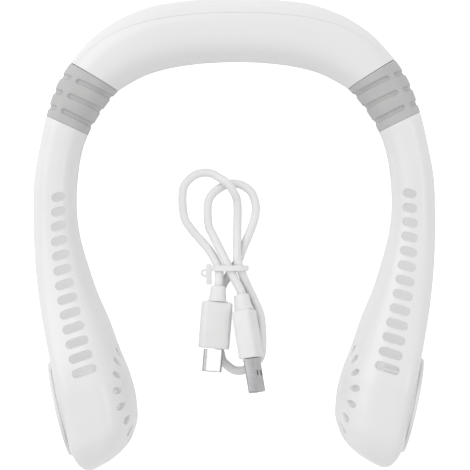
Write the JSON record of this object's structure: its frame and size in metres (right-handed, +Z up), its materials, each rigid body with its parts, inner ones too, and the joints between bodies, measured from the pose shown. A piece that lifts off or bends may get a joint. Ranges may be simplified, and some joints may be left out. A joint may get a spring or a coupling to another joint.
{
  "type": "neck fan",
  "caption": "Wearable bladeless neck fan with hinged arms, outlet slots, blowers in the pods and a folded charging lead.",
  "frame": {"origin": "middle of the fan's footprint at its underside, with the fan lying on its side as on a table", "axes": "+Z up, +Y towards the back of the neck along the fan's length, +X to the right across the two arms"},
  "size_m": [0.1644, 0.1928, 0.046],
  "materials": {
    "white_plastic": "satin moulded plastic",
    "grey_button": "matt",
    "grey_silicone": "matt silicone",
    "plated_steel": "bright plating",
    "copper_winding": "bare copper colour",
    "black_plastic": "matt",
    "circuit_board": "satin solder mask",
    "cell_wrap": "satin shrink wrap",
    "cord_sheath": "satin white sheath"
  },
  "bodies": {
    "neck_band": {"band_inner_shell": "white_plastic", "band_outer_shell": "white_plastic", "control_board": "circuit_board", "push_switch": "black_plastic", "charge_socket": "plated_steel", "battery_cell_left": "cell_wrap", "battery_cell_right": "cell_wrap", "cell_cradle_left": "white_plastic", "cell_cradle_right": "white_plastic", "hinge_fork_left": "white_plastic", "hinge_fork_right": "white_plastic", "hinge_pin_left": "plated_steel", "hinge_pin_right": "plated_steel", "flex_sleeve_left": "grey_silicone", "flex_sleeve_right": "grey_silicone"},
    "power_button": {"power_button": "grey_button"},
    "arm_left": {"arm_inner_shell_left": "white_plastic", "arm_outer_shell_left": "white_plastic", "hinge_tongue_left": "white_plastic", "intake_cover_left": "white_plastic", "motor_mount_left": "white_plastic", "motor_stator_left": "copper_winding"},
    "wheel_left": {"fan_wheel_left": "white_plastic", "rotor_magnet_left": "black_plastic", "motor_shaft_left": "plated_steel"},
    "arm_right": {"arm_inner_shell_right": "white_plastic", "arm_outer_shell_right": "white_plastic", "hinge_tongue_right": "white_plastic", "intake_cover_right": "white_plastic", "motor_mount_right": "white_plastic", "motor_stator_right": "copper_winding"},
    "wheel_right": {"fan_wheel_right": "white_plastic", "rotor_magnet_right": "black_plastic", "motor_shaft_right": "plated_steel"},
    "charging_lead": {"charging_cord": "cord_sheath", "cord_tie": "cord_sheath", "usb_a_housing": "cord_sheath", "usb_a_shell": "plated_steel", "usb_a_tongue": "black_plastic", "usb_c_housing": "cord_sheath", "usb_c_shell": "plated_steel"}
  },
  "joints": [
    {"name": "arm_left_swing", "type": "hinge", "parent": "neck_band", "child": "arm_left", "pos_m": [-0.06261, 0.05406, 0.015], "axis": [0, 0, -1], "range_deg": [-6, 20], "deforming": ["flex_sleeve_left"]},
    {"name": "wheel_left_spin", "type": "hinge", "parent": "arm_left", "child": "wheel_left", "pos_m": [-0.07059, -0.07143, 0.023], "axis": [-0.9744, -0.2246, 0], "continuous": true},
    {"name": "arm_right_swing", "type": "hinge", "parent": "neck_band", "child": "arm_right", "pos_m": [0.06261, 0.05406, 0.015], "axis": [0, 0, 1], "range_deg": [-6, 20], "deforming": ["flex_sleeve_right"]},
    {"name": "wheel_right_spin", "type": "hinge", "parent": "arm_right", "child": "wheel_right", "pos_m": [0.07059, -0.07143, 0.023], "axis": [0.9744, -0.2246, 0], "continuous": true},
    {"name": "power_button_press", "type": "slide", "parent": "neck_band", "child": "power_button", "axis": [0, -1, 0], "range_m": [0, 0.0006], "stiffness_N_per_m": 500},
    {"name": "lead_lift", "type": "slide", "parent": "neck_band", "child": "charging_lead", "axis": [0, 0, 1], "range_m": [0, 0.06]}
  ]
}
